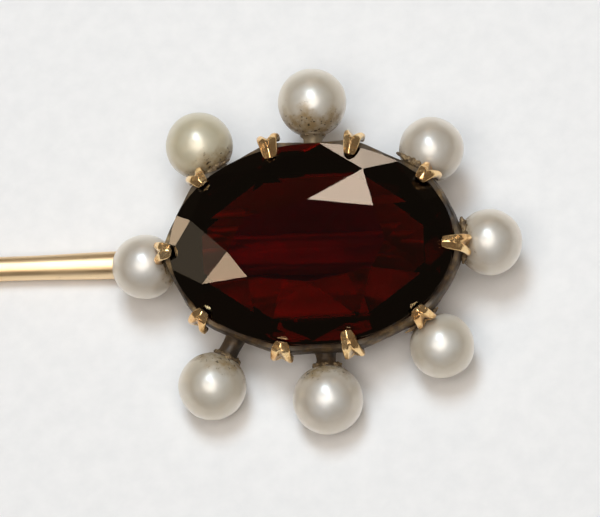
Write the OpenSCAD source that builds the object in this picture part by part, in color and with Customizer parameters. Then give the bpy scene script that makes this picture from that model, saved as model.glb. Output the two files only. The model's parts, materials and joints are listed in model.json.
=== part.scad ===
// Gem-set dress pin: an oval garnet held by ten claws in an open-backed
// collet, ringed by eight drilled pearls on pegs, soldered on a plain stem.
// Frame: the stem lies along X with its point towards -X, the stone faces +Z,
// and the origin is on the stem's axis where the straight shank begins.
// Inside the head, u is a distance outwards from the stone's girdle outline
// and z is a height above the girdle's middle plane.

/* [Stone] */
// Length of the oval garnet
stone_l = 10; // [9.6:0.1:10.4]
// Width of the oval garnet
stone_w = 7.1; // [6.9:0.1:7.4]
// Thickness of the unpolished girdle
girdle_t = 0.24; // [0.16:0.02:0.3]
// Height of the table above the girdle's middle
crown_h = 1.15; // [1.05:0.05:1.3]
// Depth of the keel below the girdle's middle
pavilion_d = 2.3; // [1.9:0.05:2.4]

/* [Setting] */
// Depth of the collet's lower edge below the girdle's middle
collet_d = 2.15; // [2.05:0.05:2.3]
// Proudness of the collet's band, beyond the girdle outline
band_out = 0.26; // [0.24:0.02:0.32]
// How far the collet's top edge dips between two claws
swag_dip = 0.3; // [0.1:0.02:0.34]
// How far the band draws in between two claws
swag_in = 0.16; // [0:0.02:0.18]
// Thickness of the base ring under the collet
ring_t = 0.41; // [0.3:0.01:0.5]
// Width of a claw at the middle of its bend
claw_w = 0.6; // [0.5:0.02:0.66]

/* [Pearls] */
// Depth of the pearls' centres below the girdle's middle
pearl_drop = 1.42; // [1.38:0.01:1.44]
// Pearl size, as a factor on each pearl's own diameter
pearl_size = 1; // [0.96:0.01:1.01]
// Radius of the drilled hole in each pearl
bore_r = 0.2; // [0.18:0.01:0.24]
// Radius of the peg that each pearl is cemented on
peg_r = 0.16; // [0.12:0.01:0.17]
// Outer radius of the socket that holds each peg
socket_r = 0.36; // [0.3:0.02:0.4]

/* [Stem] */
// Radius of the straight shank
shank_r = 0.43; // [0.38:0.01:0.46]
// Length of the straight shank
shank_l = 40; // [36:1:60]
// Length of the taper down to the point
point_l = 10; // [8:1:14]
// Radius of the rounded point
tip_r = 0.06; // [0.04:0.01:0.1]
// Radius of the neck that carries the head
neck_r = 0.49; // [0.47:0.01:0.52]
// Distance from the start of the shank to the middle of the stone
head_x = 11; // [10.5:0.5:14]

/* [Hidden] */
a = stone_l / 2;
b = stone_w / 2;
girdle_z = neck_r + ring_t + collet_d;
neck_taper_l = 4;
neck_reach = 3.95;
stone_sides = 96;
ring_steps = 90;
cut_size = 30;
socket_bore_r = peg_r + 0.005;
// How far in from the girdle outline the sockets and the pegs start
socket_in = 0.62;
peg_in = 0.8;
// How far past a pearl's middle its hole and its peg run, as shares of its radius
bore_end = 0.5;
peg_end = 0.4;
// Height and spread of the dish at the outer end of a long socket
dish = 0.12;
// Slack of the socket in the collet's cross hole
socket_slack = 0.005;
// Height of the base ring's softened edges
ring_edge = 0.12;
// Length of each solder fillet, and how far it spreads beyond the neck
solder_l = 0.9;
solder_out = 0.22;
// Where the fillets' middles lie, in from the two ends of the stone
heel_in = 0.6;
toe_in = 1.1;
seat_gap = 0.03;
STONE_COLOR = "#5e0d14";
CLAW_COLOR = "#d9a35c";
SETTING_COLOR = "#6b5636";
STEM_COLOR = "#d8b981";
PEARL_COLOR = "#e2dccb";
CEMENT_COLOR = "#b9a27a";

// Where each claw stands on the outline, in degrees of the ellipse's parameter
claw_at = [-2, 38, 74, 106, 140, 181, 221, 258, 285, 317];
// Each pearl: its place on the outline, its centre's u, and its diameter
pearls = [
    [1, 1.08, 2.34],
    [46, 1.08, 2.3],
    [91, 1.7, 2.44],
    [132, 1.46, 2.4],
    [184, 1.14, 2.3],
    [235, 1.98, 2.42],
    [273, 1.73, 2.48],
    [316, 1.3, 2.3]
];
// Where each main facet meets the girdle, in degrees, and its table corner
main_at = [-2, 52, 86, 135, 187, 227, 268, 312];
table = [
    [2.75, -0.1],
    [2.35, 1.1],
    [0.05, 1.4],
    [-2.2, 0.85],
    [-2.8, -0.35],
    [-2.1, -1.25],
    [0.1, -1.5],
    [2.25, -1.05]
];
// How far each main facet runs down into the girdle
main_sink = [0.01, 0, 0, 0, 0.045, 0, 0, 0];
// Height of a star's outer corner above the girdle's top edge
star_z = 0.46;
// The pavilion is step cut down to a keel along X. Each row of facets starts at
// this share of the stone's half width and of its depth, and has so many facets
step_rows = [[0, 0, 16], [0.14, 0.36, 8], [0.45, 0.75, 8], [1, 1]];
// Where the first facet of each row stands, in degrees
step_start = 1;

// One claw, from its foot on the band up and over the girdle to its tip:
// [u, z] under it, [u, z] along its face, and its width as a factor
claw_path = [
    [[0.29, -0.5], [0.6, -0.42], 1.3],
    [[0.29, -0.26], [0.59, -0.16], 1.24],
    [[0.27, -0.02], [0.5, 0.1], 1.16],
    [[0.17, 0.15], [0.36, 0.33], 1.06],
    [[0, 0.26], [0.14, 0.47], 0.96],
    [[-0.18, 0.37], [-0.12, 0.57], 0.84],
    [[-0.34, 0.47], [-0.38, 0.56], 0.64]
];
// The row of the path where a claw bends in over the stone
claw_bend = 3;
// How far each claw runs in over the stone from there, as a factor
claw_reach = [1, 0.6, 0.95, 1.05, 0.6, 0.55, 0.5, 0.45, 0.9, 0.4];
// Across a claw, from -1 to 1, then the height from 0 under it to 1 at its
// face: at the foot, where it has two ridges, and at the tip, where it has one
claw_section = [
    [-1, 0, 0],
    [1, 0, 0],
    [1, 0.75, 0.45],
    [0.62, 1, 0.7],
    [0, 0.6, 1],
    [-0.62, 1, 0.7],
    [-1, 0.75, 0.45]
];
// Depth of the swallow-tail notch in a claw's foot
claw_notch = 0.16;

PEARLS = len(pearls);
CLAWS = len(claw_at);

// ---- outline of the stone ----

function unit(v) = v / norm(v);
function wrap(i, n) = (i % n + n) % n;
// Direction outwards from the girdle at t
function out(t) = unit([b * cos(t), a * sin(t)]);
// Point at distance u outside the girdle at t
function at(t, u = 0) = [a * cos(t), b * sin(t)] + u * out(t);
function at_z(t, u, z) = [at(t, u)[0], at(t, u)[1], z];

// ---- facets, each as [normal, distance from the origin] ----

function plane(p, q, r, up) =
    let (n = unit(cross(q - p, r - p)))
    let (m = n[2] * up < 0 ? -n : n)
    [m, m * p];
// A main facet runs along the girdle at t and through the point q
function main_facet(t, z, q) =
    let (p = at_z(t, 0, z))
    plane(p, p + [-a * sin(t), b * cos(t), 0], q, 1);
// Point at height z on the edge where two facets meet
function meet(f, g, z) =
    let (d = f[0][0] * g[0][1] - f[0][1] * g[0][0])
    let (e = f[1] - f[0][2] * z)
    let (h = g[1] - g[0][2] * z)
    [(e * g[0][1] - h * f[0][1]) / d, (f[0][0] * h - g[0][0] * e) / d, z];
function next_main(k) = main_at[wrap(k + 1, 8)] + (k == 7 ? 360 : 0);
function mid_main(k) = (main_at[k] + next_main(k)) / 2;

function corner(k) =
    let (c = table[wrap(k, 8)])
    [c[0] * a / 5, c[1] * b / 3.55, crown_h];
crown_mains = [for (k = [0:7]) main_facet(main_at[k], girdle_t / 2 - main_sink[k], corner(k))];
// The two girdle facets that share the corner s with the mains k and k + 1
function girdle_pair(k, s) =
    let (z = girdle_t / 2)
    [
        plane(s, at_z(main_at[k], 0, z), at_z(mid_main(k), 0, z), 1),
        plane(s, at_z(mid_main(k), 0, z), at_z(next_main(k), 0, z), 1)
    ];
function star_corner(k) =
    meet(crown_mains[k], crown_mains[wrap(k + 1, 8)], girdle_t / 2 + star_z);
function step_point(t, row) =
    let (share = step_rows[row])
    at_z(t, -share[0] * b, -girdle_t / 2 - share[1] * (pavilion_d - girdle_t / 2));
function step_facet(t, row) =
    let (p = step_point(t, row))
    plane(p, p + [-a * sin(t), b * cos(t), 0], step_point(t, row + 1), -1);
facets = concat(
    [[[0, 0, 1], crown_h]],
    crown_mains,
    [for (k = [0:7]) plane(corner(k), corner(k + 1), star_corner(k), 1)],
    [for (k = [0:7]) each girdle_pair(k, star_corner(k))],
    [
        for (row = [0:2])
            for (k = [1:step_rows[row][2]])
                step_facet(step_start + 360 * k / step_rows[row][2], row)
    ]
);

// ---- outline of the collet ----

// 0 at a claw and 1 midway between two claws
function swag(t) =
    let (w = wrap(t - claw_at[0], 360))
    let (gaps = [for (i = [0:CLAWS - 1]) claw_gap(i)])
    let (i = max([for (k = [0:CLAWS - 1]) if (gaps[k][0] <= w) k]))
    pow(sin(180 * (w - gaps[i][0]) / (gaps[i][1] - gaps[i][0])), 2);
// Where the gap after claw i starts and ends, in degrees from the first claw
function claw_gap(i) = [
    claw_at[i] - claw_at[0],
    i == CLAWS - 1 ? 360 : claw_at[i + 1] - claw_at[0]
];
// Centre and radius of pearl i
function pearl_xy(i) = at(pearls[i][0], pearls[i][1]);
function pearl_r(i) = pearls[i][2] / 2 * pearl_size;
// The greatest u at t and z that stays a gap away from pearl i
function seat_u(i, t, z) =
    let (w = at(t) - pearl_xy(i))
    let (along = w * out(t))
    let (r = pearl_r(i) + seat_gap)
    let (inside = along * along - w * w - pow(z + pearl_drop, 2) + r * r)
    inside < 0 || along > 0 ? 9 : -along - sqrt(inside);
function clear_u(u, t, z) = min(concat([u], [for (i = [0:PEARLS - 1]) seat_u(i, t, z)]));
// The collet's section at t, down its outside and up its inside
function collet_section(t) =
    let (s = swag(t))
    let (top = -0.1 - swag_dip * s)
    let (lean = 0.1 * s)
    let (outside = [
        [band_out - 0.04 - swag_in * s, top],
        [band_out - 0.8 * swag_in * s, -0.5],
        [band_out - 0.6 * swag_in * s, -0.85],
        [0.12, -1.1],
        [-0.1, -1.45],
        [-0.24, -1.8],
        [-0.38, -collet_d]
    ])
    concat(
        [for (p = outside) [clear_u(p[0], t, p[1]), p[1]]],
        [[-0.75, -collet_d], [-0.5, -1.45], [-0.35, -0.9], [-0.03 - lean, top - 0.3]],
        [[0.03 - lean, top - 0.05], [0.03 - lean, top]]
    );

// ---- solids that follow the outline ----

// Closed ring through one section, a list of [u, z], at each step
module swept_ring(sections) {
    n = len(sections);
    m = len(sections[0]);
    points = [for (i = [0:n - 1]) for (p = sections[i]) at_z(360 * i / n, p[0], p[1])];
    faces = [
        for (i = [0:n - 1])
            for (j = [0:m - 1])
                let (p = i * m + j)
                let (q = i * m + wrap(j + 1, m))
                let (r = wrap(i + 1, n) * m + wrap(j + 1, m))
                let (s = wrap(i + 1, n) * m + j)
                each [[p, r, q], [p, s, r]]
    ];
    polyhedron(points, faces);
}
module on_head() {
    translate([head_x, 0, girdle_z]) children();
}
// Frame of pearl i: Z points outwards along its peg, with 0 at the girdle outline
module on_peg(i) {
    t = pearls[i][0];
    translate(at_z(t, 0, -pearl_drop))
        rotate([0, 90, atan2(out(t)[1], out(t)[0])])
            children();
}
module rod(r, from, to, r2 = 0) {
    translate([0, 0, from])
        cylinder(r1 = r, r2 = r2 > 0 ? r2 : r, h = to - from, $fn = 48);
}
module along_stem(from) {
    translate([from, 0, 0]) rotate([0, 90, 0]) children();
}

// ---- sub-parts ----

module beyond(facet) {
    n = facet[0];
    rotate([0, acos(n[2]), atan2(n[1], n[0])])
        translate([-cut_size / 2, -cut_size / 2, facet[1]])
            cube(cut_size);
}
// The oval prism cut by the facets from number i on
module cut_stone(i) {
    if (i == len(facets)) {
        translate([0, 0, -pavilion_d])
            linear_extrude(pavilion_d + crown_h)
                polygon([for (k = [0:stone_sides - 1]) at(360 * k / stone_sides)]);
    } else {
        difference() {
            cut_stone(i + 1);
            beyond(facets[i]);
        }
    }
}
module garnet() {
    color(STONE_COLOR) on_head() cut_stone(0);
}
module collet() {
    color(SETTING_COLOR)
        on_head()
            difference() {
                swept_ring([for (i = [0:ring_steps - 1]) collet_section(360 * i / ring_steps)]);
                for (i = [0:PEARLS - 1]) on_peg(i) rod(socket_r + socket_slack, -1, 0.9);
            }
}
module base_ring() {
    lo = -collet_d - ring_t;
    hi = -collet_d;
    inner = [[-0.72, lo], [-0.84, lo + ring_edge], [-0.84, hi]];
    section = concat([[-0.4, hi], [-0.3, hi - ring_edge], [-0.3, lo + ring_edge], [-0.42, lo]], inner);
    color(SETTING_COLOR) on_head() swept_ring([for (i = [1:ring_steps]) section]);
}
module claw(i) {
    t = claw_at[i];
    side = [-out(t)[1], out(t)[0], 0];
    n = len(claw_path);
    m = len(claw_section);
    points = [
        for (k = [0:n - 1])
            for (c = claw_section)
                let (p = claw_path[min(k, claw_bend)])
                let (reach = k > claw_bend ? claw_reach[i] : 0)
                let (under = p[0] + reach * (claw_path[k][0] - p[0]))
                let (face = p[1] + reach * (claw_path[k][1] - p[1]))
                let (height = c[1] + (c[2] - c[1]) * pow(k / (n - 1), 2))
                let (uz = under + height * (face - under))
                let (lift = k == 0 ? claw_notch * (1 - abs(c[0])) : 0)
                at_z(t, uz[0], uz[1] + lift) + side * c[0] * claw_path[k][2] * claw_w / 2
    ];
    walls = [
        for (k = [0:n - 2])
            for (j = [0:m - 1])
                let (p = k * m + j)
                let (q = k * m + wrap(j + 1, m))
                each [[p, q, q + m], [p, q + m, p + m]]
    ];
    foot = [for (j = [1:m - 2]) [0, j + 1, j]];
    last = (n - 1) * m;
    tip = [for (j = [1:m - 2]) [last, last + j, last + j + 1]];
    color(CLAW_COLOR)
        on_head()
            difference() {
                polyhedron(points, concat(walls, foot, tip));
                for (k = [0:PEARLS - 1])
                    if (abs(pearls[k][0] - t) < 15)
                        on_peg(k) translate([0, 0, pearls[k][1]]) sphere(pearl_r(k) + seat_gap, $fn = 64);
            }
}
module pearl(i) {
    u = pearls[i][1];
    r = pearl_r(i);
    color(PEARL_COLOR)
        on_head() on_peg(i)
            difference() {
                translate([0, 0, u]) sphere(r, $fn = 64);
                rod(bore_r, u - 2 * r, u + bore_end * r);
            }
}
module pearl_peg(i) {
    color(CLAW_COLOR)
        on_head() on_peg(i) rod(peg_r, -peg_in, pearls[i][1] + peg_end * pearl_r(i));
}
module pearl_cement(i) {
    u = pearls[i][1];
    r = pearl_r(i);
    color(CEMENT_COLOR)
        on_head() on_peg(i)
            difference() {
                rod(bore_r, u - 0.97 * r, u + bore_end * r);
                rod(peg_r, u - 2 * r, u + peg_end * r);
            }
}
// A bush through the collet's wall, dished at its outer end for the pearl
module pearl_socket(i) {
    u = pearls[i][1];
    r = pearl_r(i);
    neck = u - r;
    color(SETTING_COLOR)
        on_head() on_peg(i)
            difference() {
                union() {
                    rod(socket_r, -socket_in, neck + dish);
                    if (neck > 2 * dish) rod(socket_r, neck - dish, neck + dish, socket_r + dish);
                }
                rod(socket_bore_r, -1, neck + 1);
                translate([0, 0, u]) sphere(r, $fn = 64);
            }
}
module pin_stem() {
    taper_end = -shank_l - point_l;
    color(STEM_COLOR) {
        along_stem(-shank_l) cylinder(r = shank_r, h = shank_l, $fn = 64);
        along_stem(taper_end) cylinder(r1 = tip_r, r2 = shank_r, h = point_l, $fn = 64);
        along_stem(taper_end) sphere(tip_r, $fn = 32);
        along_stem(0) cylinder(r1 = shank_r, r2 = neck_r, h = neck_taper_l, $fn = 64);
        along_stem(neck_taper_l) cylinder(r = neck_r, h = head_x + neck_reach - neck_taper_l, $fn = 64);
        along_stem(head_x + neck_reach) sphere(neck_r, $fn = 64);
    }
}
// Saddle of solder between the stem and the underside of the base ring
module solder(x) {
    reach = neck_r + solder_out;
    color(SETTING_COLOR)
        difference() {
            along_stem(x - solder_l / 2) cylinder(r = reach, h = solder_l, $fn = 48);
            along_stem(x - solder_l) cylinder(r = neck_r, h = 2 * solder_l, $fn = 64);
            translate([x - solder_l, -1, neck_r]) cube([2 * solder_l, 2, 1]);
            translate([x - solder_l, -1, -1]) cube([2 * solder_l, 2, 1]);
        }
}

garnet();
collet();
base_ring();
pin_stem();
solder(head_x - a + heel_in);  // solder_heel
solder(head_x + a - toe_in);  // solder_toe
for (i = [1:CLAWS]) claw(i - 1);
for (i = [1:PEARLS]) pearl(i - 1);
for (i = [1:PEARLS]) pearl_peg(i - 1);
for (i = [1:PEARLS]) pearl_cement(i - 1);
for (i = [1:PEARLS]) pearl_socket(i - 1);
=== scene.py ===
"""Hat pin: an oval garnet in a claw setting, ringed by pearls, on a gold stem.

Metres throughout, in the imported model's own frame. Inside the head, u is a
distance outwards from the stone's girdle outline and z a height above the
girdle's middle plane.
"""
import bmesh
import bpy
import json
import math
import random
from mathutils import Matrix, Vector, noise


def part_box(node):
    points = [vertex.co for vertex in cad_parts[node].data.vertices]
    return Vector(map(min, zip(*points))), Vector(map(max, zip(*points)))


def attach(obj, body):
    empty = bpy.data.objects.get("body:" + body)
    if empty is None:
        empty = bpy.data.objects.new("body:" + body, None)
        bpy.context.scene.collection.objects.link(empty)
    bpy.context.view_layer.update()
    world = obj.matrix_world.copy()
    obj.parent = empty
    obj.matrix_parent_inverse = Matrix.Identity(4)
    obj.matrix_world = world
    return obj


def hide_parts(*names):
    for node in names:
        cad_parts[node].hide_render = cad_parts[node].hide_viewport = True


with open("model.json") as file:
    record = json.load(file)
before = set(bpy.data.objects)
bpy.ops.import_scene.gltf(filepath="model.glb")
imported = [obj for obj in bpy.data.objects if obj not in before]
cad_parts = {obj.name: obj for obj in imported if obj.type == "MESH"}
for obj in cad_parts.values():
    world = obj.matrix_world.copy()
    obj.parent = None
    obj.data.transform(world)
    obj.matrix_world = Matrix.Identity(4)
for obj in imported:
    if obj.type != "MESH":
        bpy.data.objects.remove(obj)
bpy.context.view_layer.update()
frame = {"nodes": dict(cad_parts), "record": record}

MM = 0.001

# ---- sizes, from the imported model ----

STONE_LO, STONE_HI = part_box("garnet")
A = (STONE_HI.x - STONE_LO.x) / 2
B = (STONE_HI.y - STONE_LO.y) / 2
CROWN_H = 1.15 * MM
PAVILION_D = 2.3 * MM
GIRDLE_T = 0.24 * MM
HEAD = Vector(((STONE_LO.x + STONE_HI.x) / 2, (STONE_LO.y + STONE_HI.y) / 2, STONE_HI.z - CROWN_H))
COLLET_D = HEAD.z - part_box("collet")[0].z
RING_D = HEAD.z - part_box("base_ring")[0].z
STEM_LO, STEM_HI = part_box("pin_stem")
NECK_R = (STEM_HI.z - STEM_LO.z) / 2
SHANK = frame["record"]["mounts"][0]["dims"]
SHANK_R = SHANK["r_mm"] * MM
SHANK_L = SHANK["length_mm"] * MM
NECK_TAPER_L = 4 * MM
TIP_R = 0.06 * MM
PEARLS = sum(name.startswith("pearl_peg_") for name in frame["nodes"])
CLAWS = sum(name.startswith("claw_") for name in frame["nodes"])


# ---- the stone's outline ----

def outward(t):
    """Direction outwards from the girdle at t degrees of the ellipse's parameter."""
    t = math.radians(t)
    return Vector((B * math.cos(t), A * math.sin(t), 0)).normalized()


def at(t, u, z):
    """Point of the head at t, a distance u outside the girdle and z above its plane."""
    r = math.radians(t)
    return HEAD + Vector((A * math.cos(r), B * math.sin(r), z)) + u * outward(t)


def outline_angle(point):
    """The t whose outward line passes closest to a point of the head."""
    flat = Vector((point.x - HEAD.x, point.y - HEAD.y, 0))
    guess = math.atan2(flat.y / B, flat.x / A)
    for _ in range(30):
        edge = Vector((A * math.cos(guess), B * math.sin(guess), 0))
        along = Vector((-A * math.sin(guess), B * math.cos(guess), 0))
        guess += (flat - edge).dot(along) / along.length_squared * 0.6
    return math.degrees(guess)


class Pearl:
    """Place and size of one pearl, with the frame of its peg."""

    def __init__(self, number):
        lo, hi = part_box(f"pearl_{number}")
        self.number = number
        self.centre = (lo + hi) / 2
        self.radius = (hi.z - lo.z) / 2
        self.t = outline_angle(self.centre)
        self.out = outward(self.t)
        self.root = at(self.t, 0, self.centre.z - HEAD.z)
        self.u = (self.centre - self.root).dot(self.out)


pearls = [Pearl(number) for number in range(1, PEARLS + 1)]
claw_at = []
for number in range(1, CLAWS + 1):
    lo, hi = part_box(f"claw_{number}")
    claw_at.append(outline_angle((lo + hi) / 2) % 360)
claw_first = claw_at[0]
claw_steps = sorted((t - claw_first) % 360 for t in claw_at) + [360]


# ---- mesh helpers ----

def make_piece(name, bm, node, material, smooth=True):
    """A Blender object from a bmesh, riding on the root and standing for CAD nodes."""
    bmesh.ops.recalc_face_normals(bm, faces=bm.faces)
    mesh = bpy.data.meshes.new(name)
    bm.to_mesh(mesh)
    bm.free()
    for face in mesh.polygons:
        face.use_smooth = smooth
    piece = bpy.data.objects.new(name, mesh)
    bpy.context.scene.collection.objects.link(piece)
    mesh.materials.append(material)
    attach(piece, "root")
    if node:
        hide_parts(node)
    return piece


def grid_surface(bm, rows, loop_rows, loop_columns, cap=False):
    """Faces between rows of points. Rows or columns may close on themselves."""
    verts = [[bm.verts.new(p) for p in row] for row in rows]
    count, width = len(rows), len(rows[0])
    for i in range(count if loop_rows else count - 1):
        for j in range(width if loop_columns else width - 1):
            after, beside = (i + 1) % count, (j + 1) % width
            bm.faces.new((verts[i][j], verts[after][j], verts[after][beside], verts[i][beside]))
    if cap:
        bm.faces.new(verts[0])
        bm.faces.new(reversed(verts[-1]))


def lathe(bm, origin, axis, profile, steps, wobble=None):
    """Turned solid. The profile is a list of (along, radius); ends with radius 0 close it."""
    side = axis.cross(Vector((0, 0, 1)))
    if side.length < 0.1:
        side = axis.cross(Vector((0, 1, 0)))
    side.normalize()
    up = side.cross(axis)
    rings = []
    for along, radius in profile:
        middle = origin + axis * along
        if radius == 0:
            rings.append([bm.verts.new(middle)])
            continue
        ring = []
        for k in range(steps):
            turn = 2 * math.pi * k / steps
            spoke = side * math.cos(turn) + up * math.sin(turn)
            point = middle + spoke * radius
            ring.append(bm.verts.new(wobble(point) if wobble else point))
        rings.append(ring)
    for one, two in zip(rings, rings[1:]):
        for k in range(steps):
            after = (k + 1) % steps
            if len(one) == 1:
                bm.faces.new((one[0], two[k], two[after]))
            elif len(two) == 1:
                bm.faces.new((one[k], two[0], one[after]))
            else:
                bm.faces.new((one[k], two[k], two[after], one[after]))
    return rings


def arc(centre, radius, start, end, steps):
    """Profile points along a circle about (centre, 0), angles in degrees from +along."""
    turns = [math.radians(start + (end - start) * k / steps) for k in range(steps + 1)]
    return [(centre + radius * math.cos(a), radius * math.sin(a)) for a in turns]


def mix(low, high, amount):
    return low + (high - low) * amount


def smoothstep(low, high, value):
    x = min(1, max(0, (value - low) / (high - low)))
    return x * x * (3 - 2 * x)


def rough(point, size, depth, seed=0.0):
    """Seeded noise from -depth to depth, with features of about the given size."""
    return depth * noise.fractal(point / size + Vector((seed, seed * 1.7, -seed)), 0.9, 2.1, 4)


def paint(mesh, name, value_at):
    """Stores value_at(point) on every vertex as a float attribute for the material."""
    layer = mesh.attributes.new(name, "FLOAT", "POINT")
    for index, vert in enumerate(mesh.vertices):
        layer.data[index].value = value_at(vert.co)


# ---- node helpers ----

class Nodes:
    """Short calls for building one material."""

    def __init__(self, name):
        self.material = bpy.data.materials.new(name)
        self.material.use_nodes = True
        self.tree = self.material.node_tree
        self.tree.nodes.clear()
        self.output = self.new("ShaderNodeOutputMaterial")

    def new(self, kind, **settings):
        node = self.tree.nodes.new(kind)
        for key, value in settings.items():
            setattr(node, key, value)
        return node

    def link(self, source, target):
        self.tree.links.new(source, target)

    def place(self, scale):
        """Object-space position, in units of 1/scale metres."""
        coords = self.new("ShaderNodeTexCoord")
        mapping = self.new("ShaderNodeMapping")
        mapping.inputs["Scale"].default_value = scale if hasattr(scale, "__len__") else (scale,) * 3
        self.link(coords.outputs["Object"], mapping.inputs["Vector"])
        return mapping.outputs["Vector"]

    def noise(self, scale, detail=4, roughness=0.55):
        node = self.new("ShaderNodeTexNoise")
        node.inputs["Scale"].default_value = 1
        node.inputs["Detail"].default_value = detail
        node.inputs["Roughness"].default_value = roughness
        self.link(self.place(scale), node.inputs["Vector"])
        return node.outputs["Fac"]

    def ramp(self, value, stops):
        """Colours along a value, from stops of (position, colour)."""
        node = self.new("ShaderNodeValToRGB")
        elements = node.color_ramp.elements
        while len(elements) < len(stops):
            elements.new(0.5)
        for element, (position, colour) in zip(elements, stops):
            element.position = position
            element.color = (*colour, 1)
        self.link(value, node.inputs["Fac"])
        return node.outputs["Color"]

    def scale(self, value, low, high, from_low=0.0, from_high=1.0):
        """The value, moved from its own range to the range from low to high."""
        node = self.new("ShaderNodeMapRange")
        node.inputs["From Min"].default_value = from_low
        node.inputs["From Max"].default_value = from_high
        node.inputs["To Min"].default_value = low
        node.inputs["To Max"].default_value = high
        self.link(value, node.inputs["Value"])
        return node.outputs["Result"]

    def math(self, operation, one, two):
        node = self.new("ShaderNodeMath", operation=operation)
        for value, socket in ((one, node.inputs[0]), (two, node.inputs[1])):
            if isinstance(value, (int, float)):
                socket.default_value = value
            else:
                self.link(value, socket)
        return node.outputs["Value"]

    def blend(self, amount, one, two, mode="MIX"):
        """Mix of two colours, each a tuple or a socket. The Mix node keeps colours on sockets 6 and 7."""
        node = self.new("ShaderNodeMix", data_type="RGBA", blend_type=mode)
        sockets = (node.inputs[0], node.inputs[6], node.inputs[7])
        for value, socket in zip((amount, one, two), sockets):
            if isinstance(value, (int, float)):
                socket.default_value = value
            elif isinstance(value, tuple):
                socket.default_value = (*value, 1)
            else:
                self.link(value, socket)
        return node.outputs[2]

    def attribute(self, name):
        """A float attribute of the mesh."""
        return self.new("ShaderNodeAttribute", attribute_name=name).outputs["Fac"]

    def bump(self, height, distance, strength):
        node = self.new("ShaderNodeBump")
        node.inputs["Distance"].default_value = distance
        node.inputs["Strength"].default_value = strength
        self.link(height, node.inputs["Height"])
        return node.outputs["Normal"]

    def shader(self, links, **plain):
        """The Principled shader: plain values on its own sockets, and the linked ones.

        A plain value's key has an underscore for each space of the socket's name.
        """
        node = self.new("ShaderNodeBsdfPrincipled")
        for key, value in plain.items():
            node.inputs[key.replace("_", " ")].default_value = value
        for key, value in links.items():
            self.link(value, node.inputs[key])
        self.link(node.outputs["BSDF"], self.output.inputs["Surface"])


# ---- materials ----

NICKED = (0.6, 0.6, 0.6)


def garnet_material():
    """Dark red glass-like stone, faintly smudged, with nicks along its facets' edges."""
    n = Nodes("garnet")
    smudge = n.noise((900, 2100, 900), detail=4)
    haze = n.ramp(smudge, [(0.5, (0.012,) * 3), (0.68, (0.035,) * 3), (0.8, (0.11,) * 3)])
    nick = n.ramp(n.noise(5200, detail=3), [(0.54, (0, 0, 0)), (0.62, (1, 1, 1))])
    nicks = n.math("MULTIPLY", n.attribute("edge"), nick)
    haze = n.blend(nicks, haze, NICKED)
    tint = n.ramp(smudge, [(0.45, (0.93, 0.78, 0.76)), (0.7, (0.98, 0.9, 0.88))])
    n.shader({"Base Color": tint, "Roughness": haze}, IOR=1.76, Transmission_Weight=1)
    depth = n.new("ShaderNodeVolumeAbsorption")
    depth.inputs["Color"].default_value = (0.79, 0.15, 0.08, 1)
    depth.inputs["Density"].default_value = 2600
    n.link(depth.outputs["Volume"], n.output.inputs["Volume"])
    return n.material


def pearl_material():
    """Nacre with clouds, some yellow, speckled grime near the seat, and a painted ring of shade with a
    painted pale rim.
    """
    n = Nodes("pearl")
    facing = n.new("ShaderNodeLayerWeight")
    facing.inputs["Blend"].default_value = 0.5
    # Silvery in the middle, a darker ring of painted shade round it, and a pale rim of painted reflection
    # and translucent glow, all set by how far the surface turns from the view
    body = n.ramp(facing.outputs["Facing"], [
        (0.0, (0.72, 0.72, 0.70)),
        (0.08, (0.63, 0.61, 0.57)),
        (0.24, (0.56, 0.505, 0.43)),
        (0.5, (0.74, 0.68, 0.585)),
        (0.85, (0.98, 0.91, 0.81)),
    ])
    cloud = n.ramp(n.noise(900, detail=3), [(0.3, (0.90, 0.87, 0.82)), (0.7, (1.0, 1.0, 1.0))])
    body = n.blend(1.0, body, cloud, "MULTIPLY")
    body = n.blend(n.attribute("yellow"), body, (0.64, 0.58, 0.38))
    stain = n.noise(3800, detail=6, roughness=0.65)
    mask = n.math("MULTIPLY", n.attribute("grime"), n.scale(stain, 0.35, 1.1, 0.32, 0.64))
    body = n.blend(mask, body, (0.36, 0.255, 0.125))
    specks = n.ramp(n.noise(8000, detail=3), [(0.60, (0, 0, 0)), (0.66, (1, 1, 1))])
    speck_mask = n.math("MULTIPLY", specks, n.attribute("grime"))
    body = n.blend(speck_mask, body, (0.05, 0.032, 0.017))
    gloss = n.scale(mask, 0.34, 0.55)
    growth = n.noise(5200, detail=5)
    bump = n.bump(growth, 0.004 * MM, 0.25)
    n.shader(
        {"Base Color": body, "Roughness": gloss, "Normal": bump},
        IOR=1.6,
        Metallic=0.2,
        Subsurface_Weight=0.3,
        Subsurface_Radius=(1.0, 0.82, 0.62),
        Subsurface_Scale=0.3 * MM,
        Coat_Weight=0.55,
        Coat_Roughness=0.26,
        Coat_IOR=1.5,
    )
    return n.material


def claw_material():
    """Burnished rose-yellow gold, with dirt and painted shade in its grooves and on its underside."""
    n = Nodes("claw_gold")
    tone = n.noise(1700, detail=4)
    metal = n.ramp(tone, [
        (0.3, (0.84, 0.48, 0.20)),
        (0.52, (0.98, 0.66, 0.31)),
        (0.75, (0.99, 0.77, 0.45)),
    ])
    patches = n.scale(n.noise(4200, detail=5), 0.2, 1.5, 0.3, 0.7)
    # Dirt and painted shade together: darker in the groove between the claw's ridges and on its underside
    dirt = n.math("MULTIPLY", n.attribute("dirt_and_shade"), patches)
    metal = n.blend(dirt, metal, (0.10, 0.055, 0.02))
    gloss = n.scale(n.noise(3000, detail=5), 0.12, 0.36, 0.3, 0.75)
    bump = n.bump(n.noise(3400, detail=5, roughness=0.6), 0.02 * MM, 0.6)
    n.shader({"Base Color": metal, "Roughness": gloss, "Normal": bump}, Metallic=0.9)
    return n.material


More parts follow.
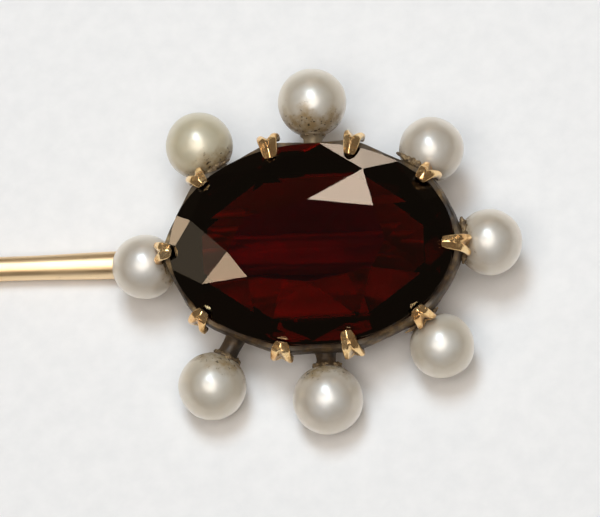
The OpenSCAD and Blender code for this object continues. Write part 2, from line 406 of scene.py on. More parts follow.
def setting_material():
    """Gold under a matte brown patina, brighter where it is rubbed."""
    n = Nodes("setting_gold")
    patina = n.noise(1500, detail=6, roughness=0.65)
    colour = n.ramp(patina, [
        (0.38, (0.022, 0.013, 0.006)),
        (0.52, (0.068, 0.041, 0.018)),
        (0.63, (0.17, 0.108, 0.045)),
        (0.78, (0.42, 0.31, 0.16)),
    ])
    colour = n.blend(n.attribute("rubbed"), colour, (0.66, 0.52, 0.33))
    metal = n.scale(patina, 0.05, 0.7, 0.45, 0.7)
    gloss = n.scale(n.noise(2600, detail=4), 0.72, 0.4, 0.3, 0.7)
    bump = n.bump(n.noise(3600, detail=6, roughness=0.7), 0.035 * MM, 0.8)
    n.shader({"Base Color": colour, "Metallic": metal, "Roughness": gloss, "Normal": bump})
    return n.material


def stem_material():
    """Satin pale gold with draw lines along it and spots of tarnish."""
    n = Nodes("stem_gold")
    tone = n.noise((180, 1500, 1500), detail=4)
    metal = n.ramp(tone, [
        (0.3, (0.74, 0.50, 0.27)),
        (0.5, (0.92, 0.68, 0.40)),
        (0.75, (0.97, 0.78, 0.53)),
    ])
    tarnish = n.noise((900, 1900, 1900), detail=6, roughness=0.7)
    spots = n.ramp(tarnish, [(0.62, (0, 0, 0)), (0.76, (1, 1, 1))])
    metal = n.blend(n.math("MULTIPLY", spots, 0.45), metal, (0.33, 0.22, 0.11))
    draw = n.noise((260, 14000, 14000), detail=3)
    gloss = n.scale(draw, 0.34, 0.52, 0.3, 0.7)
    bump = n.bump(draw, 0.004 * MM, 0.6)
    n.shader({"Base Color": metal, "Roughness": gloss, "Normal": bump}, Metallic=1.0, Anisotropic=0.35)
    return n.material


def crust_material():
    """Mottled dry dirt and old cement."""
    n = Nodes("crust")
    mottle = n.noise(5200, detail=6, roughness=0.7)
    colour = n.ramp(mottle, [
        (0.36, (0.03, 0.02, 0.012)),
        (0.5, (0.12, 0.075, 0.033)),
        (0.66, (0.38, 0.27, 0.14)),
    ])
    gloss = n.scale(mottle, 0.75, 0.45, 0.3, 0.7)
    bump = n.bump(mottle, 0.05 * MM, 0.9)
    n.shader({"Base Color": colour, "Roughness": gloss, "Normal": bump})
    return n.material


def floor_material():
    """Plain white paper."""
    n = Nodes("paper")
    fibre = n.noise(1400, detail=6, roughness=0.6)
    sheet = n.ramp(fibre, [(0.35, (0.83, 0.835, 0.84)), (0.65, (0.87, 0.872, 0.875))])
    bump = n.bump(fibre, 0.02 * MM, 0.15)
    n.shader({"Base Color": sheet, "Normal": bump}, Roughness=0.9)
    return n.material


# ---- the garnet ----

# Where each main facet meets the girdle, in degrees, and its table corner in millimetres
MAIN_AT = [-2, 52, 86, 135, 187, 227, 268, 312]
TABLE = [
    (2.75, -0.1),
    (2.35, 1.1),
    (0.05, 1.4),
    (-2.2, 0.85),
    (-2.8, -0.35),
    (-2.1, -1.25),
    (0.1, -1.5),
    (2.25, -1.05),
]
MAINS = len(TABLE)
# How far each main facet runs down into the girdle, in millimetres
MAIN_SINK = [0.01, 0, 0, 0, 0.045, 0, 0, 0]
STAR_Z = 0.46 * MM
# The pavilion is step cut down to a keel along X. Each row of facets starts at
# this share of the stone's half width and of its depth, and has so many facets
STEP_ROWS = [(0, 0, 16), (0.14, 0.36, 8), (0.45, 0.75, 8), (1, 1, 0)]
# Where the first facet of each row stands, in degrees
STEP_START = 1
OUTLINE_SIDES = 288
# Width in millimetres that wear has rounded off each facet's edges
WORN_EDGE = 0.011


def facet_plane(p, q, r, up):
    normal = (q - p).cross(r - p).normalized()
    if normal.z * up < 0:
        normal = -normal
    return normal, p


def facet_along(t, p, q, up):
    """A facet through p and q, with its edge at p parallel to the girdle at t."""
    r = math.radians(t)
    edge = Vector((-A * math.sin(r), B * math.cos(r), 0))
    return facet_plane(p, p + edge, q, up)


def meet(one, two, z):
    """Point at height z above the girdle on the edge where two facets meet."""
    height = HEAD.z + z
    rows = [(normal.x, normal.y, normal.dot(p) - normal.z * height) for normal, p in (one, two)]
    d = rows[0][0] * rows[1][1] - rows[0][1] * rows[1][0]
    x = (rows[0][2] * rows[1][1] - rows[1][2] * rows[0][1]) / d
    y = (rows[0][0] * rows[1][2] - rows[1][0] * rows[0][2]) / d
    return Vector((x, y, height))


def main_angle(k):
    return MAIN_AT[k % MAINS] + 360 * (k // MAINS)


def table_corner(k):
    x, y = TABLE[k % MAINS]
    return HEAD + Vector((x * MM, y * MM, CROWN_H))


def step_point(t, row):
    """Where a row of the pavilion's facets starts, at t."""
    half = GIRDLE_T / 2
    across, down, _ = STEP_ROWS[row]
    return at(t, -across * B, -half - down * (PAVILION_D - half))


def stone_facets():
    """Every facet's plane as (normal, point), by name."""
    half = GIRDLE_T / 2
    found = {"table": (Vector((0, 0, 1)), table_corner(0))}
    for k in range(MAINS):
        foot = at(MAIN_AT[k], 0, half - MAIN_SINK[k] * MM)
        found[f"crown_{k}"] = facet_along(MAIN_AT[k], foot, table_corner(k), 1)
    for k in range(MAINS):
        star = meet(found[f"crown_{k}"], found[f"crown_{(k + 1) % MAINS}"], half + STAR_Z)
        found[f"star_{k}"] = facet_plane(table_corner(k), table_corner(k + 1), star, 1)
        middle = (main_angle(k) + main_angle(k + 1)) / 2
        for side, (t, s) in enumerate(((main_angle(k), middle), (middle, main_angle(k + 1)))):
            found[f"upper_{k}_{side}"] = facet_plane(star, at(t, 0, half), at(s, 0, half), 1)
    for row, (_, _, count) in enumerate(STEP_ROWS[:-1]):
        for k in range(count):
            t = STEP_START + 360 * k / count
            found[f"step_{row}_{k}"] = facet_along(t, step_point(t, row), step_point(t, row + 1), -1)
    return found


def cut(bm, normal, point):
    """Takes away all of a closed solid beyond a plane, and closes it again."""
    geometry = bm.verts[:] + bm.edges[:] + bm.faces[:]
    done = bmesh.ops.bisect_plane(
        bm, geom=geometry, dist=1e-6, plane_co=point, plane_no=normal, clear_outer=True)
    rim = [e for e in done["geom_cut"] if isinstance(e, bmesh.types.BMEdge)]
    rim = [e for e in rim if e.is_boundary]
    if rim:
        bmesh.ops.contextual_create(bm, geom=rim)


def build_garnet(facets, material):
    """The stone is cut at a thousand times its size, about its own middle, for precision."""
    bm = bmesh.new()
    angles = [360 * k / OUTLINE_SIDES for k in range(OUTLINE_SIDES)]
    rows = [[(at(t, 0, z) - HEAD) / MM for t in angles] for z in (-PAVILION_D, CROWN_H)]
    grid_surface(bm, rows, False, True, cap=True)
    for normal, point in facets.values():
        cut(bm, normal, (point - HEAD) / MM)
    edge = bm.faces.layers.float.new("edge")
    worn = bmesh.ops.bevel(
        bm, geom=bm.edges[:], offset=WORN_EDGE, offset_type="OFFSET", segments=2, profile=0.5,
        affect="EDGES", clamp_overlap=True)
    for face in worn["faces"]:
        face[edge] = 1
    bmesh.ops.transform(bm, matrix=Matrix.Translation(HEAD) @ Matrix.Scale(MM, 4), verts=bm.verts)
    return make_piece("garnet_stone", bm, "garnet", material, smooth=False)


# ---- the setting ----

BAND_OUT = 0.26 * MM
SWAG_DIP = 0.3 * MM
SWAG_IN = 0.16 * MM
SEAT_GAP = 0.012 * MM
RING_STEPS = 540
# Where the collet's wall lies further down, as u and z
WALL_WAIST = (0.12 * MM, -1.1 * MM)
WALL_TUCK = (-0.1 * MM, -1.45 * MM)
WALL_SKIRT = (-0.24 * MM, -1.8 * MM)
WALL_FOOT_U = -0.38 * MM
# The collet's inner face up to the stone's seat, as u and z in millimetres
WALL_INSIDE = [(-0.75, -COLLET_D / MM), (-0.62, -1.8), (-0.5, -1.45), (-0.42, -1.15), (-0.35, -0.9)]


def swag(t):
    """0 at a claw and 1 midway between two claws."""
    w = (t - claw_first) % 360
    for low, high in zip(claw_steps, claw_steps[1:]):
        if low <= w <= high:
            return math.sin(math.pi * (w - low) / (high - low)) ** 2
    return 0


def clear_of_pearls(u, t, z):
    """The greatest distance outwards, up to u, that stays off every pearl."""
    here = outward(t)
    for pearl in pearls:
        w = at(t, 0, z) - pearl.centre
        along = w.dot(here)
        radius = pearl.radius + SEAT_GAP
        inside = along * along - w.length_squared + radius * radius
        if inside > 0 and along < 0:
            u = min(u, -along - math.sqrt(inside))
    return u


def curve_through(points, steps):
    """Catmull-Rom points through an open list of same-length tuples."""
    out = []
    for i in range(len(points) - 1):
        p0, p1 = points[max(i - 1, 0)], points[i]
        p2, p3 = points[i + 1], points[min(i + 2, len(points) - 1)]
        for k in range(steps):
            s = k / steps
            out.append(tuple(
                0.5 * (2 * b + (c - a) * s + (2 * a - 5 * b + 4 * c - d) * s * s
                       + (3 * b - a - 3 * c + d) * s ** 3)
                for a, b, c, d in zip(p0, p1, p2, p3)))
    out.append(tuple(points[-1]))
    return out


def collet_row(t):
    """The collet's section at t, down its outside and up its inside."""
    s = swag(t)
    top = -0.1 * MM - SWAG_DIP * s
    lean = 0.1 * MM * s
    outside = curve_through([
        (BAND_OUT - 0.04 * MM - SWAG_IN * s, top),
        (BAND_OUT - 0.8 * SWAG_IN * s, -0.5 * MM),
        (BAND_OUT - 0.6 * SWAG_IN * s, -0.85 * MM),
        WALL_WAIST,
        WALL_TUCK,
        WALL_SKIRT,
        (WALL_FOOT_U, -COLLET_D),
    ], 5)
    row = []
    for u, z in outside:
        u += rough(at(t, u, z), 0.5 * MM, 0.014 * MM, 3.1)
        row.append(at(t, clear_of_pearls(u, t, z), z))
    row += [at(t, u * MM, z * MM) for u, z in WALL_INSIDE]
    seat = [(-0.03 * MM, top - 0.3 * MM), (0.03 * MM, top - 0.05 * MM), (0.05 * MM, top)]
    return row + [at(t, u - lean, z) for u, z in seat]


def build_collet(material):
    """The wall round the stone, with a scalloped top edge."""
    bm = bmesh.new()
    rows = [collet_row(360 * i / RING_STEPS) for i in range(RING_STEPS)]
    grid_surface(bm, rows, True, True)
    piece = make_piece("collet_wall", bm, "collet", material)
    soften(piece, 35)

    def rubbed(co):
        return 0.08 * smoothstep(-0.3 * MM, -0.1 * MM, co.z - HEAD.z)

    paint(piece.data, "rubbed", rubbed)
    return piece


def soften(piece, angle):
    """Keeps edges sharper than the angle crisp under smooth shading."""
    bm = bmesh.new()
    bm.from_mesh(piece.data)
    for edge in bm.edges:
        if len(edge.link_faces) == 2 and edge.calc_face_angle() > math.radians(angle):
            edge.smooth = False
    bm.to_mesh(piece.data)
    bm.free()


def build_base_ring(material):
    """The ring under the collet, softened at its edges."""
    bm = bmesh.new()
    low, high = -RING_D, -COLLET_D
    # u and a rise in millimetres, and the face of the ring that the rise starts from
    corners = [
        (-0.4, 0, high),
        (-0.3, -0.12, high),
        (-0.27, -0.22, high),
        (-0.3, 0.12, low),
        (-0.42, 0, low),
        (-0.72, 0, low),
        (-0.84, 0.12, low),
        (-0.87, -0.2, high),
        (-0.84, 0, high),
    ]
    rows = []
    for i in range(RING_STEPS):
        t = 360 * i / RING_STEPS
        row = []
        for u, dz, z in corners:
            wave = rough(at(t, u * MM, z), 0.7 * MM, 0.01 * MM, 8.3) if u > -0.7 and u != -0.4 else 0
            row.append(at(t, u * MM + wave, z + dz * MM))
        rows.append(row)
    grid_surface(bm, rows, True, True)
    piece = make_piece("base_ring_wire", bm, "base_ring", material)
    soften(piece, 50)

    def rubbed(co):
        return 0.35 * smoothstep(-2.4 * MM, -2.56 * MM, co.z - HEAD.z)

    paint(piece.data, "rubbed", rubbed)
    return piece


# [u, z] in mm under the claw and along its face, and its width as a factor, foot first
CLAW_PATH = [
    ((0.29, -0.5), (0.6, -0.42), 1.3),
    ((0.29, -0.26), (0.59, -0.16), 1.24),
    ((0.27, -0.02), (0.5, 0.1), 1.16),
    ((0.17, 0.12), (0.36, 0.33), 1.06),
    ((0.0, 0.16), (0.14, 0.45), 0.96),
    ((-0.18, 0.25), (-0.12, 0.52), 0.84),
    ((-0.34, 0.34), (-0.38, 0.5), 0.64),
]
CLAW_W = 0.6 * MM
# How far each claw runs in over the stone, as a factor
CLAW_REACH = [1.0, 0.6, 0.95, 1.05, 0.6, 0.55, 0.5, 0.45, 0.9, 0.4]
# Share of the claw's length that the swallow-tail notch in its foot takes
CLAW_NOTCH = 0.16
CLAW_STATIONS = 30
# The row of the path where a claw bends in over the stone
CLAW_BEND = 3
# How far hand work has pushed a claw sideways, twisted it and changed its width
CLAW_SKEW = 0.06 * MM
CLAW_TWIST = 0.16
CLAW_BROAD = (0.94, 1.08)
# Across the claw's face, from its left side to its right side
CLAW_ACROSS = [k / 8 for k in range(-8, 9)]
# How far from the middle the two ridges start at the foot, and where they have met
RIDGE_OUT = 0.66
RIDGES_MEET = 0.85


def claw_face(across, share):
    """Height of the claw's face: two ridges that run together into one."""
    ridge = RIDGE_OUT * (1 - smoothstep(0, RIDGES_MEET, share))
    off = abs(across) - ridge
    if off < 0:
        return 1 + off
    return 1 - 0.6 * off ** 1.2


def claw_loop(share):
    """The section at a share of the length: sideways, then 0 under it to 1 at its face."""
    under = [(-0.9, 0), (-0.4, -0.02), (0.4, -0.02), (0.9, 0), (1.0, 0.2)]
    face = [(x, claw_face(x, share)) for x in reversed(CLAW_ACROSS)]
    return under + face + [(-1.0, 0.2)]


def claw_path(reach):
    """The path with everything past its bend drawn in to the claw's own reach."""
    rows = []
    bend = CLAW_PATH[CLAW_BEND]
    for k, (under, face, width) in enumerate(CLAW_PATH):
        if k > CLAW_BEND:
            under = tuple(mix(p, q, reach) for p, q in zip(bend[0], under))
            face = tuple(mix(p, q, reach) for p, q in zip(bend[1], face))
        rows.append((*under, *face, width))
    return curve_through(rows, 12)


def build_claw(number, material):
    """A claw swept along its path, a little unlike the others."""
    draw = random.Random(40 + number)
    t = claw_at[number - 1]
    out = outward(t)
    side = Vector((-out.y, out.x, 0))
    skew = draw.uniform(-CLAW_SKEW, CLAW_SKEW)
    twist = draw.uniform(-CLAW_TWIST, CLAW_TWIST)
    broad = draw.uniform(*CLAW_BROAD)
    path = claw_path(CLAW_REACH[number - 1])
    rows = []
    dirt_and_shade_marks = []
    for k in range(CLAW_STATIONS + 1):
        share = k / CLAW_STATIONS
        row = []
        for across, height in claw_loop(share):
            along = share + (1 - share) ** 4 * CLAW_NOTCH * max(0, 1 - abs(across) / RIDGE_OUT)
            place = along * (len(path) - 1)
            step = min(int(place), len(path) - 2)
            between = zip(path[step], path[step + 1])
            u0, z0, u1, z1, width = (mix(p, q, place - int(place)) for p, q in between)
            valley = max(0, 1 - height) if abs(across) < RIDGE_OUT * (1 - share / RIDGES_MEET) else 0
            if height > 0.25:
                height += twist * across * share
            z = mix(z0, z1, height) * MM
            u = clear_of_pearls(mix(u0, u1, height) * MM, t, z)
            point = at(t, u, z) + side * (across * width * broad * CLAW_W / 2 + skew * share)
            push = rough(point, 0.22 * MM, 0.014 * MM, number)
            row.append(point + out * push + Vector((0, 0, push * share)))
            # The underside and the groove between the ridges are darkened, as dirt and painted shade
            edge = 0.8 if height < 0.3 else 0
            dirt_and_shade_marks.append(min(1, max(edge, 1.7 * valley)))
        rows.append(row)
    bm = bmesh.new()
    grid_surface(bm, rows, False, True)
    for end in (rows[0], rows[-1]):
        close_end(bm, end)
    bm.normal_update()
    piece = make_piece(f"claw_{number}_gold", bm, f"claw_{number}", material)
    paint(piece.data, "dirt_and_shade", lambda co: 0)
    values = piece.data.attributes["dirt_and_shade"].data
    for index, value in enumerate(dirt_and_shade_marks):
        values[index].value = value
    fine = piece.modifiers.new("rounded", "SUBSURF")
    fine.levels = fine.render_levels = 1
    return piece


def close_end(bm, row):
    """Fans an end loop of a swept piece to its middle."""
    bm.verts.ensure_lookup_table()
    wanted = [min(bm.verts, key=lambda v: (v.co - p).length_squared) for p in row]
    middle = bm.verts.new(sum((v.co for v in wanted), Vector()) / len(wanted))
    for one, two in zip(wanted, wanted[1:] + wanted[:1]):
        bm.faces.new((one, two, middle))


# ---- pearls and what holds them ----

PEARL_STEPS = 96
BORE_R = 0.2 * MM
PEG_R = 0.16 * MM
SOCKET_R = 0.36 * MM
# How far in from the girdle outline the sockets and the pegs start
SOCKET_IN = 0.62 * MM
PEG_IN = 0.8 * MM
# How far past a pearl's middle its hole, its peg and its cement run, and how far
# before it the hole's mouth lies, as shares of the pearl's radius
BORE_END = 0.5
PEG_END = 0.4
FILL_END = 0.49
MOUTH = 0.96
CORE_STEPS = 40
SOCKET_STEPS = 64
# A socket that stands out further than this shows, and is turned to a waist
LONG_NECK = 0.24 * MM


def pearl_shape(pearl):
    """Moves a point of a true sphere to the slightly uneven pearl's surface."""
    seed = 11.3 * pearl.number

    def uneven(point):
        ray = point - pearl.centre
        if ray.length < pearl.radius * 0.9:
            return point
        way = ray.normalized()
        swell = noise.noise(way * 1.1 + Vector((seed, 0, seed)))
        fine = noise.noise(way * 4.5 + Vector((0, seed, seed)))
        return pearl.centre + ray * (1 - 0.012 + 0.022 * swell + 0.003 * fine)

    return uneven


# How yellow some of the pearls are
YELLOW = {3: 0.1, 4: 0.6, 6: 0.12, 8: 0.1}
# How far in millimetres the grime spreads out from a pearl's seat
GRIME = {1: 0.62, 2: 0.66, 3: 0.86, 4: 0.62, 6: 0.66, 7: 0.6, 8: 0.36}
GRIME_OF_OTHERS = 0.4
# How brightly some of the sockets are rubbed
BRIGHT = {3: 0.2, 4: 0.15}


def build_pearl(pearl, material):
    """An uneven ball with its blind hole, painted with grime near the seat."""
    bm = bmesh.new()
    mouth = math.degrees(math.asin(BORE_R / pearl.radius))
    profile = [(pearl.radius, 0)]
    profile += arc(0, pearl.radius, 2, 180 - mouth - 1.5, 84)
    end = pearl.radius * BORE_END
    profile += [(-pearl.radius * MOUTH, BORE_R), (end, BORE_R), (end, 0)]
    lathe(bm, pearl.centre, pearl.out, profile, PEARL_STEPS, pearl_shape(pearl))
    name = f"pearl_{pearl.number}"
    piece = make_piece(f"{name}_nacre", bm, name, material)
    soften(piece, 40)
    spread = GRIME.get(pearl.number, GRIME_OF_OTHERS) * MM

    def grime(co):
        from_seat = (co - pearl.centre).dot(pearl.out) + pearl.radius
        near = 1 - from_seat / (spread * (1 + rough(co, 0.6 * MM, 0.7, pearl.number)))
        return max(0, min(1, near * 1.9))

    paint(piece.data, "grime", grime)
    paint(piece.data, "yellow", lambda co: YELLOW.get(pearl.number, 0.0))
    return piece


def build_socket(pearl, material):
    """The bush between the collet's wall and the pearl, with the peg's bore through it."""
    bm = bmesh.new()
    neck = pearl.u - pearl.radius
    seat = neck + 0.06 * MM
    bore = PEG_R + 0.005 * MM
    if neck > LONG_NECK:
        wall = curve_through([
            (-SOCKET_IN, SOCKET_R),
            (-0.1 * MM, SOCKET_R),
            (0.02 * MM, SOCKET_R * 1.25),
            (0.12 * MM, SOCKET_R * 1.02),
            (neck - 0.12 * MM, SOCKET_R * 0.94),
            (seat + 0.02 * MM, SOCKET_R + 0.09 * MM),
            (seat + 0.04 * MM, SOCKET_R + 0.05 * MM),
        ], 6)
    else:
        wall = [(along, SOCKET_R) for along in (-SOCKET_IN, seat - 0.1 * MM, seat)]
        wall.append((seat + 0.01 * MM, SOCKET_R * 0.95))
    profile = [(-SOCKET_IN, bore)] + wall + [(neck + 0.03 * MM, bore)]
    seed = 5.5 * pearl.number

    def uneven(point):
        along = (point - pearl.root).dot(pearl.out)
        spoke = point - pearl.root - pearl.out * along
        if spoke.length < SOCKET_R * 0.6:
            return point
        return point + spoke.normalized() * rough(point, 0.3 * MM, 0.03 * MM, seed)

    lathe_ring(bm, pearl.root, pearl.out, profile, SOCKET_STEPS, uneven)
    name = f"pearl_socket_{pearl.number}"
    piece = make_piece(f"{name}_bush", bm, name, material)
    soften(piece, 50)
    paint(piece.data, "rubbed", lambda co: BRIGHT.get(pearl.number, 0.0))
    return piece


def lathe_ring(bm, origin, axis, profile, steps, wobble=None):
    """Turned solid with a hole through it: the profile closes on itself."""
    rings = lathe(bm, origin, axis, profile, steps, wobble)
    for k in range(steps):
        after = (k + 1) % steps
        bm.faces.new((rings[-1][k], rings[0][k], rings[0][after], rings[-1][after]))


# Thickness in millimetres of the crust of dirt round the seats that have most of it
CRUST = {1: 0.12, 2: 0.13, 6: 0.09, 7: 0.1, 8: 0.08}
CRUST_OF_OTHERS = 0.055
CRUST_TURNS = 160
CRUST_SIDES = 20


def build_crust(pearl, material):
    """Old cement and dirt squeezed out round the pearl's seat."""
    bm = bmesh.new()
    axis = pearl.out
    side = axis.cross(Vector((0, 0, 1))).normalized()
    up = side.cross(axis)
    seed = 21.7 * pearl.number
    thick = CRUST.get(pearl.number, CRUST_OF_OTHERS) * MM
    rows = []
    for k in range(CRUST_TURNS):
        turn = 2 * math.pi * k / CRUST_TURNS
        spoke = side * math.cos(turn) + up * math.sin(turn)
        size = thick * (1 + 0.9 * noise.noise(spoke * 1.7 + Vector((seed, seed, 0))))
        ring_r = SOCKET_R * 0.98 + 0.4 * size
        sink = pearl.radius - math.sqrt(pearl.radius ** 2 - ring_r ** 2)
        middle = pearl.root + axis * (pearl.u - pearl.radius + sink) + spoke * ring_r
        row = []
        for j in range(CRUST_SIDES):
            roll = 2 * math.pi * j / CRUST_SIDES
            ray = spoke * math.cos(roll) + axis * math.sin(roll)
            point = middle + ray * size
            row.append(point + ray * rough(point, 0.09 * MM, 0.45 * size, seed))
        rows.append(row)
    grid_surface(bm, rows, True, True)
    return make_piece(f"pearl_crust_{pearl.number}", bm, None, material)


# Pearls that are bedded against the rim in dirt: how far the dirt runs to each
# side in degrees of the outline, and how thick it is in millimetres
RIM_CRUST = {1: (12, 0.15), 2: (10, 0.13), 4: (8, 0.07), 5: (7, 0.05), 8: (9, 0.08)}
RIM_CRUST_U = 0.33 * MM
RIM_CRUST_STEPS = 150


def build_rim_crust(pearl, material):
    """A crumbling strip of dirt between the collet's rim and the pearl."""
    spread, thick = RIM_CRUST[pearl.number]
    seed = 7.9 * pearl.number
    depth = pearl.centre.z - HEAD.z
    rows = []
    for k in range(RIM_CRUST_STEPS + 1):
        share = k / RIM_CRUST_STEPS
        t = pearl.t + mix(-spread, spread, share)
        taper = 0.2 + 0.8 * math.sin(math.pi * share) ** 0.6
        size = thick * MM * taper * (1 + 0.5 * noise.noise(Vector((share * 5, seed, 0))))
        away = at(t, RIM_CRUST_U, depth) - pearl.centre
        rise = math.sqrt(max(0, pearl.radius ** 2 - away.length_squared))
        middle = at(t, RIM_CRUST_U, max(depth + rise, -0.7 * MM))
        row = []
        for j in range(CRUST_SIDES):
            roll = 2 * math.pi * j / CRUST_SIDES
            ray = outward(t) * math.cos(roll) + Vector((0, 0, math.sin(roll)))
            point = middle + ray * size
            row.append(point + ray * rough(point, 0.1 * MM, 0.5 * size, seed))
        rows.append(row)
    bm = bmesh.new()
    grid_surface(bm, rows, False, True, cap=True)
    return make_piece(f"rim_crust_{pearl.number}", bm, None, material)


def build_core(pearl, peg_material, cement_material):
    """The peg and its cement, which the pearl hides."""
    bm = bmesh.new()
    start = -PEG_IN
    end = pearl.u + PEG_END * pearl.radius
    profile = [
        (start, 0), (start, PEG_R), (end - 0.4 * PEG_R, PEG_R),
        (end, 0.55 * PEG_R), (end, 0),
    ]
    lathe(bm, pearl.root, pearl.out, profile, CORE_STEPS)
    name = f"pearl_peg_{pearl.number}"
    peg = make_piece(f"{name}_wire", bm, name, peg_material)
    soften(peg, 30)
    # The hidden peg is darkened a little all over, as dirt and painted shade
    paint(peg.data, "dirt_and_shade", lambda co: 0.2)
    bm = bmesh.new()
    inner, outer = PEG_R + 0.002 * MM, BORE_R - 0.002 * MM
    start = pearl.u - MOUTH * pearl.radius
    end = pearl.u + FILL_END * pearl.radius
    profile = [(start, inner), (start, outer), (end, outer), (end, inner)]
    lathe_ring(bm, pearl.root, pearl.out, profile, CORE_STEPS)
    name = f"pearl_cement_{pearl.number}"
    fill = make_piece(f"{name}_fill", bm, name, cement_material)
    soften(fill, 30)


# ---- the stem ----

STEM_STEPS = 64


def run(start, end, steps, radius_at):
    """Profile points along the stem after start, up to end."""
    shares = [k / steps for k in range(1, steps + 1)]
    return [(mix(start, end, share), radius_at(share)) for share in shares]


def build_stem(material):
    """The wire from its point, up the taper, the shank and the neck, to its round end."""
    tip, end = STEM_LO.x, STEM_HI.x
    toe = end - NECK_R
    profile = [(tip, 0)]
    for a in (0.5, 1.0, 1.5):
        profile.append((tip + TIP_R * (1 - math.cos(a)), TIP_R * math.sin(a)))
    profile += run(tip + TIP_R, -SHANK_L, 40, lambda share: mix(TIP_R, SHANK_R, share))
    profile += run(-SHANK_L, 0, 120, lambda share: SHANK_R)
    profile += run(0, NECK_TAPER_L, 16, lambda share: mix(SHANK_R, NECK_R, smoothstep(0, 1, share)))
    profile += run(NECK_TAPER_L, toe, 40, lambda share: NECK_R)
    for a in (0.3, 0.6, 0.9, 1.2, 1.4):
        profile.append((toe + NECK_R * math.sin(a), NECK_R * math.cos(a)))
    profile.append((end, 0))

    def hand_drawn(point):
        spoke = Vector((0, point.y, point.z))
        wave = rough(point, 1.6 * MM, 0.006 * MM, 2.2) * min(1, spoke.length / SHANK_R)
        return point + spoke.normalized() * wave

    bm = bmesh.new()
    lathe(bm, Vector((0, 0, 0)), Vector((1, 0, 0)), profile, STEM_STEPS, hand_drawn)
    return make_piece("pin_stem_wire", bm, "pin_stem", material)


SOLDER_STATIONS = 28
SOLDER_SIDE = 9


def build_solder(node, material):
    """A fillet on each side of the stem, run out on the base ring's underside."""
    lo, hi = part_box(node)
    reach = (hi.y - lo.y) / 2
    under_r = NECK_R * 0.97
    start = math.radians(12)
    bm = bmesh.new()
    for hand in (-1, 1):
        rows = []
        for i in range(SOLDER_STATIONS + 1):
            share = i / SOLDER_STATIONS
            x = mix(lo.x, hi.x, share)
            ripple = 0.85 + 0.15 * noise.noise(Vector((x * 4000, hand, 0)))
            wide = mix(NECK_R * 0.8, reach, math.sin(math.pi * share) ** 0.5 * ripple)
            row = []
            for k in range(SOLDER_SIDE):
                turn = math.radians(mix(96, 20, k / (SOLDER_SIDE - 1)))
                row.append(Vector((x, hand * under_r * math.cos(turn), under_r * math.sin(turn))))
            for k in range(SOLDER_SIDE):
                out = k / (SOLDER_SIDE - 1)
                y = mix(NECK_R * math.cos(start), wide, out ** 1.6)
                z = mix(NECK_R * 0.25, NECK_R + 0.03 * MM, out ** 0.6)
                row.append(Vector((x, hand * y, z)))
            rows.append(row)
        grid_surface(bm, rows, False, True, cap=True)
    piece = make_piece(f"{node}_fillet", bm, node, material)
    soften(piece, 60)
    paint(piece.data, "rubbed", lambda co: 0.6)
    return piece


# ---- the stage ----

# Direction from the object to the camera, and the head's turn in the picture
TO_CAMERA = Vector((0.14, -0.16, 0.977)).normalized()
ROLL = math.radians(2.0)
CAMERA_DISTANCE = 280 * MM
VIEW_WIDTH = 20.9 * MM
# The middle of the view, left of and below the stone's middle
VIEW_LEFT = 0.39 * MM
VIEW_BELOW = 0.498 * MM
SENSOR = 36
LIGHT_DISTANCE = 400 * MM
SKY = (0.74, 0.88, 1.0)
BEIGE = (1.0, 0.80, 0.62)
TAN = (1.0, 0.74, 0.49)
OCHRE = (1.0, 0.8, 0.56)
# The window lights the pin from above, and a little from the +Y side
WINDOW = Vector((-0.03, 0.42, 0.91))
WINDOW_SIZE = (115 * MM, 155 * MM)
WINDOW_RADIANCE = 13
# Facets that mirror a small warm lamp, with its radiance and its colour
LAMP_SIZE = 34 * MM
LAMPS = {
    "star_1": (6.8, BEIGE),
    "upper_1_0": (5.0, BEIGE),
    "upper_1_1": (5.6, BEIGE),
    "star_4": (4.9, TAN),
    "upper_3_1": (4.4, TAN),
}
# The facet that mirrors a dim patch of wall
WALL_FACET = "crown_4"
WALL_SIZE = 60 * MM
WALL_RADIANCE = 0.5
# The room's light by the height of a direction, from level at 0 to straight up at 1
ROOM = [
    (0.0, (0.06, 0.042, 0.027)),
    (0.08, (0.055, 0.038, 0.024)),
    (0.89, (0.055, 0.038, 0.024)),
    (0.925, (4.2, 3.85, 3.5)),
    (1.0, (4.35, 4.05, 3.75)),
]
# How the room dims close to the direction that the table mirrors
TABLE_SHADE = {"From Min": 0.978, "From Max": 0.99, "To Min": 1.0, "To Max": 0.008}
FLOOR_HALF = 1.5
ROLL_LIMIT = math.radians(40)


def camera_axes():
    right = (Vector((1, 0, 0)) - TO_CAMERA.x * TO_CAMERA).normalized()
    up = TO_CAMERA.cross(right)
    return (right * math.cos(ROLL) - up * math.sin(ROLL), right * math.sin(ROLL) + up * math.cos(ROLL))


def build_camera():
    right, up = camera_axes()
    data = bpy.data.cameras.new("camera")
    data.sensor_width = SENSOR
    data.lens = SENSOR * CAMERA_DISTANCE / VIEW_WIDTH
    data.clip_start = 0.01
    data.clip_end = 10
    camera = bpy.data.objects.new("camera", data)
    bpy.context.scene.collection.objects.link(camera)
    target = HEAD - right * VIEW_LEFT - up * VIEW_BELOW
    turn = Matrix((right, up, TO_CAMERA)).transposed().to_4x4()
    camera.matrix_world = Matrix.Translation(target + TO_CAMERA * CAMERA_DISTANCE) @ turn
    bpy.context.scene.camera = camera


def build_light(name, direction, size, radiance, colour):
    """An area light facing the head. Its power follows from the radiance that it should show."""
    width, height = size
    data = bpy.data.lights.new(name, "AREA")
    data.shape = "RECTANGLE"
    data.size = width
    data.size_y = height
    data.energy = radiance * math.pi * width * height
    data.color = colour
    light = bpy.data.objects.new(name, data)
    bpy.context.scene.collection.objects.link(light)
    light.location = HEAD + direction.normalized() * LIGHT_DISTANCE
    light.rotation_mode = "QUATERNION"
    light.rotation_quaternion = direction.to_track_quat("Z", "Y")
    light.visible_camera = False


def mirror_of_camera(normal):
    """Direction that a facet of this normal shows the camera."""
    return 2 * normal.dot(TO_CAMERA) * normal - TO_CAMERA


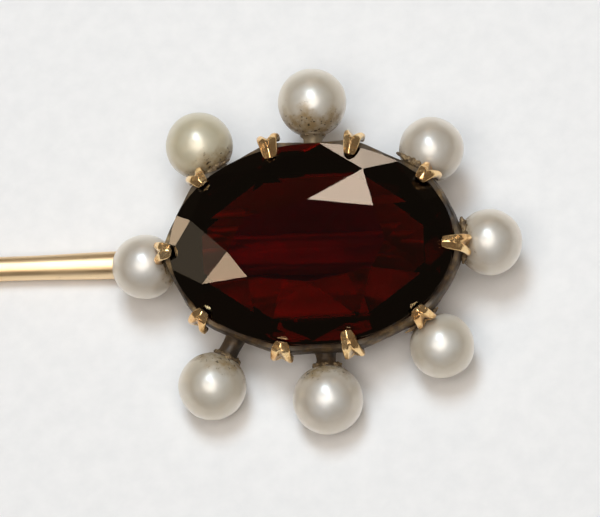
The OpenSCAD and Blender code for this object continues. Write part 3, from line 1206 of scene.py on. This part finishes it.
def resting_roll(pearl):
    """How far the pin rolls about its stem before this pearl touches the floor, or 0 if it never does."""
    low, high = 0.0, ROLL_LIMIT
    for _ in range(40):
        roll = (low + high) / 2
        height = math.sin(roll) * pearl.centre.y + math.cos(roll) * pearl.centre.z + NECK_R
        if height > pearl.radius:
            low = roll
        else:
            high = roll
    return low if low < ROLL_LIMIT - math.radians(1) else 0.0


def build_floor():
    """The floor. The pin lies on its stem and rolls over until a pearl touches it."""
    bm = bmesh.new()
    bmesh.ops.create_grid(bm, x_segments=2, y_segments=2, size=FLOOR_HALF)
    mesh = bpy.data.meshes.new("floor")
    bm.to_mesh(mesh)
    bm.free()
    mesh.materials.append(floor_material())
    floor = bpy.data.objects.new("floor", mesh)
    lean = min(roll for roll in map(resting_roll, pearls) if roll > 0)
    floor.rotation_euler = (-lean, 0, 0)
    floor.location = Vector((0, -math.sin(lean), -math.cos(lean))) * (NECK_R + 0.01 * MM)
    bpy.context.scene.collection.objects.link(floor)


def build_lights(facets):
    build_light("window", WINDOW, WINDOW_SIZE, WINDOW_RADIANCE, SKY)
    for name, (radiance, colour) in LAMPS.items():
        toward = mirror_of_camera(facets[name][0])
        build_light(f"lamp_{name}", toward, (LAMP_SIZE, LAMP_SIZE), radiance, colour)
    toward = mirror_of_camera(facets[WALL_FACET][0])
    build_light("wall", toward, (WALL_SIZE, WALL_SIZE), WALL_RADIANCE, OCHRE)


def build_world(facets):
    """A dim room with a soft light overhead, shaded where the stone's table mirrors it."""
    world = bpy.data.worlds.new("room")
    world.use_nodes = True
    bpy.context.scene.world = world
    nodes, links = world.node_tree.nodes, world.node_tree.links
    nodes.clear()
    coords = nodes.new("ShaderNodeTexCoord")
    split = nodes.new("ShaderNodeSeparateXYZ")
    ramp = nodes.new("ShaderNodeValToRGB")
    elements = ramp.color_ramp.elements
    while len(elements) < len(ROOM):
        elements.new(0.5)
    for element, (position, colour) in zip(elements, ROOM):
        element.position = position
        element.color = (*colour, 1)
    background = nodes.new("ShaderNodeBackground")
    output = nodes.new("ShaderNodeOutputWorld")
    near = nodes.new("ShaderNodeVectorMath")
    near.operation = "DOT_PRODUCT"
    near.inputs[1].default_value = mirror_of_camera(facets["table"][0])
    shade = nodes.new("ShaderNodeMapRange")
    for name, value in TABLE_SHADE.items():
        shade.inputs[name].default_value = value
    links.new(coords.outputs["Generated"], split.inputs["Vector"])
    links.new(split.outputs["Z"], ramp.inputs["Fac"])
    links.new(coords.outputs["Generated"], near.inputs[0])
    links.new(near.outputs["Value"], shade.inputs["Value"])
    links.new(ramp.outputs["Color"], background.inputs["Color"])
    links.new(shade.outputs["Result"], background.inputs["Strength"])
    links.new(background.outputs["Background"], output.inputs["Surface"])


# ---- assembly ----

setting = setting_material()
gold = claw_material()
nacre = pearl_material()
crust = crust_material()
facets = stone_facets()

build_camera()
build_garnet(facets, garnet_material())
build_collet(setting)
build_base_ring(setting)
build_stem(stem_material())
for solder_node in ("solder_heel", "solder_toe"):
    build_solder(solder_node, setting)
for number in range(1, CLAWS + 1):
    build_claw(number, gold)
for pearl in pearls:
    build_pearl(pearl, nacre)
    build_socket(pearl, setting)
    build_crust(pearl, crust)
    if pearl.number in RIM_CRUST:
        build_rim_crust(pearl, crust)
    build_core(pearl, gold, crust)
build_floor()
build_lights(facets)
build_world(facets)
bpy.context.scene.view_settings.view_transform = "Standard"
